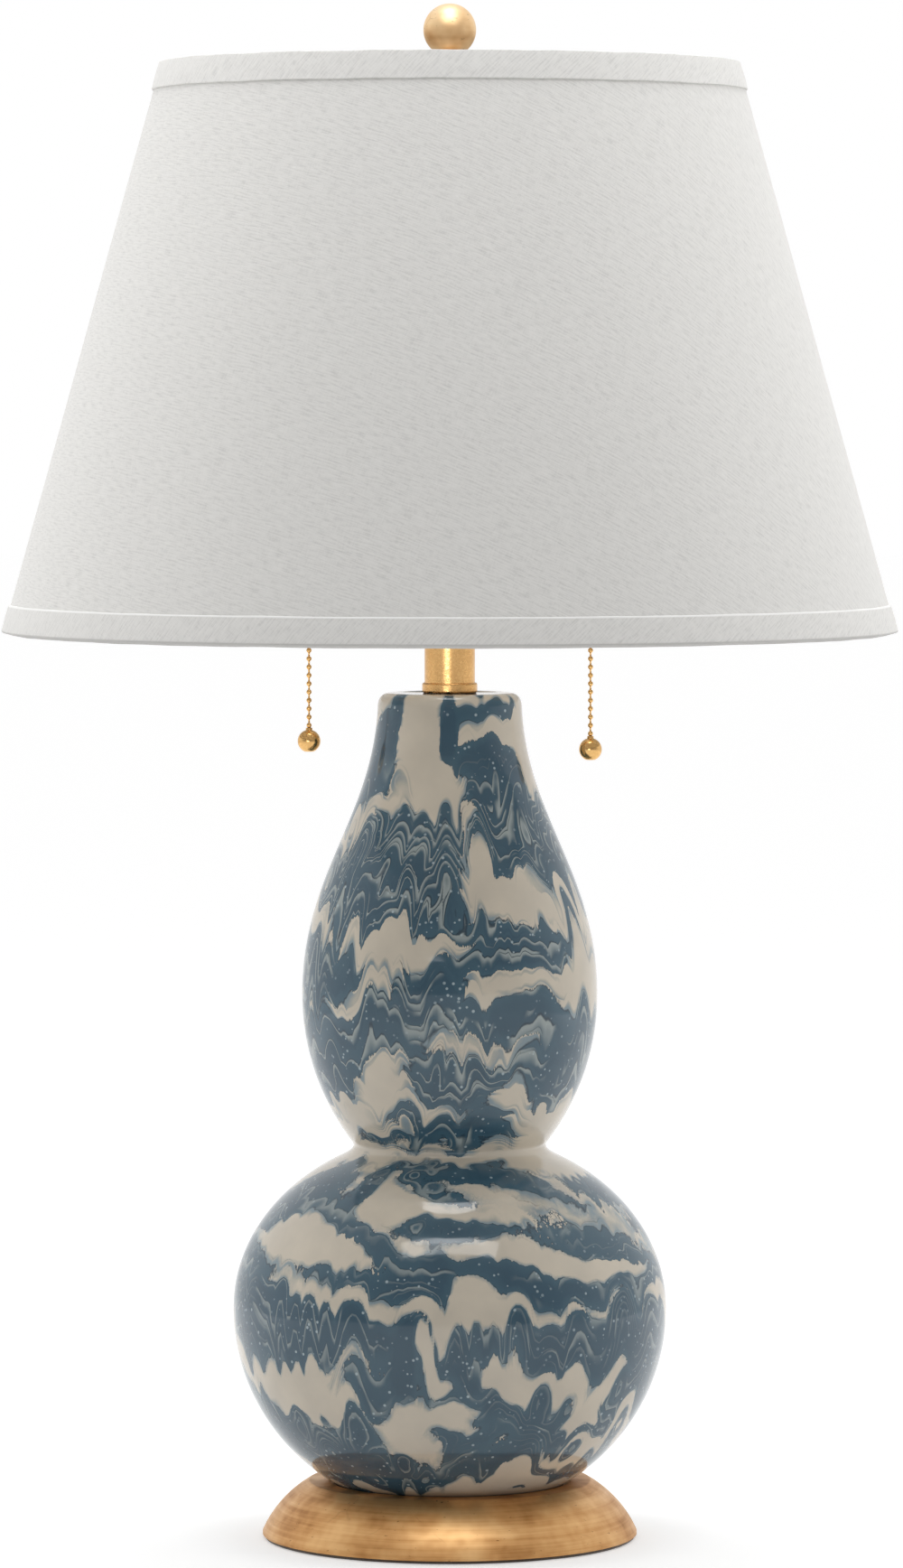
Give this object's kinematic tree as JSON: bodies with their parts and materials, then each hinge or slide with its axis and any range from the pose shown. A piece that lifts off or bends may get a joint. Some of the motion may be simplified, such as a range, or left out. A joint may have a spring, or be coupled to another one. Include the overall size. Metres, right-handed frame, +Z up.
{
  "type": "table lamp",
  "caption": "Table lamp with a gourd-shaped marbled ceramic body on a gilded foot, a tapered linen shade, opposed pull-chain sockets and a ball finial.",
  "frame": {"origin": "middle of the felt underside, on the table", "axes": "+Z up along the lamp's axis, front towards -Y, pull chains on -X and +X, cord inlet at +Y"},
  "size_m": [0.4084, 0.4084, 0.7],
  "materials": {
    "felt": "matt wool felt",
    "gilded_wood": "turned wood under worn gold leaf",
    "gilded_metal": "gold leaf",
    "bushing": "moulded nylon",
    "steel": "zinc plated",
    "gasket": "soft rubber",
    "glaze": "gloss glaze, cream and slate blue, marbled",
    "brass": "brushed and lacquered",
    "fibre": "vulcanised paper",
    "phenolic": "moulded phenolic",
    "bulb_metal": "rolled thread",
    "bulb_glass": "white frosted",
    "lining": "white styrene",
    "linen": "off-white linen, bias trim",
    "frame_wire": "brass-coloured lacquer on steel wire"
  },
  "bodies": {
    "lamp": {"base_foot": "gilded_wood", "base_lock_washer": "steel", "base_nut": "steel", "base_washer": "steel", "cluster_body": "brass", "cluster_cap": "brass", "cluster_nut": "steel", "cord_bushing": "bushing", "felt_pad": "felt", "gourd_body": "glaze", "lamp_pipe": "steel", "left_arm_nipple": "steel", "left_arm_sleeve": "brass", "left_centre_contact": "brass", "left_chain_bell": "brass", "left_drum_pin": "steel", "left_screw_shell": "brass", "left_socket_body": "phenolic", "left_socket_cap": "brass", "left_socket_liner": "fibre", "left_socket_shell": "brass", "neck_collar": "brass", "neck_tube": "brass", "right_arm_nipple": "steel", "right_arm_sleeve": "brass", "right_centre_contact": "brass", "right_chain_bell": "brass", "right_drum_pin": "steel", "right_screw_shell": "brass", "right_socket_body": "phenolic", "right_socket_cap": "brass", "right_socket_liner": "fibre", "right_socket_shell": "brass", "riser_rod": "brass", "seat_gasket": "gasket", "shade_seat": "brass"},
    "shade": {"shade_panel": "lining", "shade_linen": "linen", "top_trim": "linen", "bottom_trim": "linen", "spider_hub": "frame_wire", "spider_spokes": "frame_wire", "top_ring": "frame_wire", "bottom_ring": "frame_wire"},
    "finial_base": {"finial_ferrule": "brass"},
    "finial": {"finial_ball": "gilded_metal"},
    "left_lead": {"left_chain_lead": "brass"},
    "left_chain": {"left_pull_chain": "brass", "left_pull_ball": "brass"},
    "left_drum": {"left_switch_drum": "phenolic"},
    "left_bulb_base": {"left_bulb_cap": "bulb_metal"},
    "left_bulb": {"left_bulb_glass": "bulb_glass"},
    "right_lead": {"right_chain_lead": "brass"},
    "right_chain": {"right_pull_chain": "brass", "right_pull_ball": "brass"},
    "right_drum": {"right_switch_drum": "phenolic"},
    "right_bulb_base": {"right_bulb_cap": "bulb_metal"},
    "right_bulb": {"right_bulb_glass": "bulb_glass"}
  },
  "joints": [
    {"name": "left_pull", "type": "slide", "parent": "lamp", "child": "left_lead", "axis": [0, 0, -1], "range_m": [0, 0.008], "stiffness_N_per_m": 350},
    {"name": "left_swing", "type": "hinge", "parent": "left_lead", "child": "left_chain", "pos_m": [-0.0642, 0, 0.43285], "axis": [1, 0, 0], "range_deg": [-20, 20]},
    {"name": "left_drum_turn", "type": "hinge", "parent": "lamp", "child": "left_drum", "pos_m": [-0.0582, 0, 0.464], "axis": [0, -1, 0], "range_deg": [0, 76.6]},
    {"name": "left_bulb_out", "type": "slide", "parent": "lamp", "child": "left_bulb_base", "axis": [-1, 0, 0], "range_m": [0, 0.02177]},
    {"name": "left_bulb_turn", "type": "hinge", "parent": "left_bulb_base", "child": "left_bulb", "pos_m": [-0.1, 0, 0.462], "axis": [-1, 0, 0], "range_deg": [0, 2165]},
    {"name": "right_pull", "type": "slide", "parent": "lamp", "child": "right_lead", "axis": [0, 0, -1], "range_m": [0, 0.008], "stiffness_N_per_m": 350},
    {"name": "right_swing", "type": "hinge", "parent": "right_lead", "child": "right_chain", "pos_m": [0.0642, 0, 0.43285], "axis": [1, 0, 0], "range_deg": [-20, 20]},
    {"name": "right_drum_turn", "type": "hinge", "parent": "lamp", "child": "right_drum", "pos_m": [0.0582, 0, 0.464], "axis": [0, 1, 0], "range_deg": [0, 76.6]},
    {"name": "right_bulb_out", "type": "slide", "parent": "lamp", "child": "right_bulb_base", "axis": [1, 0, 0], "range_m": [0, 0.02177]},
    {"name": "right_bulb_turn", "type": "hinge", "parent": "right_bulb_base", "child": "right_bulb", "pos_m": [0.1, 0, 0.462], "axis": [1, 0, 0], "range_deg": [0, 2165]},
    {"name": "shade_swivel", "type": "hinge", "parent": "lamp", "child": "shade", "pos_m": [0, 0, 0.661], "axis": [0, 0, 1], "continuous": true},
    {"name": "finial_rise", "type": "slide", "parent": "lamp", "child": "finial_base", "axis": [0, 0, 1], "range_m": [0, 0.00658]},
    {"name": "finial_turn", "type": "hinge", "parent": "finial_base", "child": "finial", "pos_m": [0, 0, 0.67], "axis": [0, 0, 1], "range_deg": [0, 2525]}
  ],
  "couplings": [
    {"joint": "left_drum_turn", "follows": "left_pull", "rad_per_m": 166.67},
    {"joint": "left_bulb_turn", "follows": "left_bulb_out", "rad_per_m": 1731.4},
    {"joint": "right_drum_turn", "follows": "right_pull", "rad_per_m": 166.67},
    {"joint": "right_bulb_turn", "follows": "right_bulb_out", "rad_per_m": 1731.4},
    {"joint": "finial_turn", "follows": "finial_rise", "rad_per_m": 6679}
  ]
}
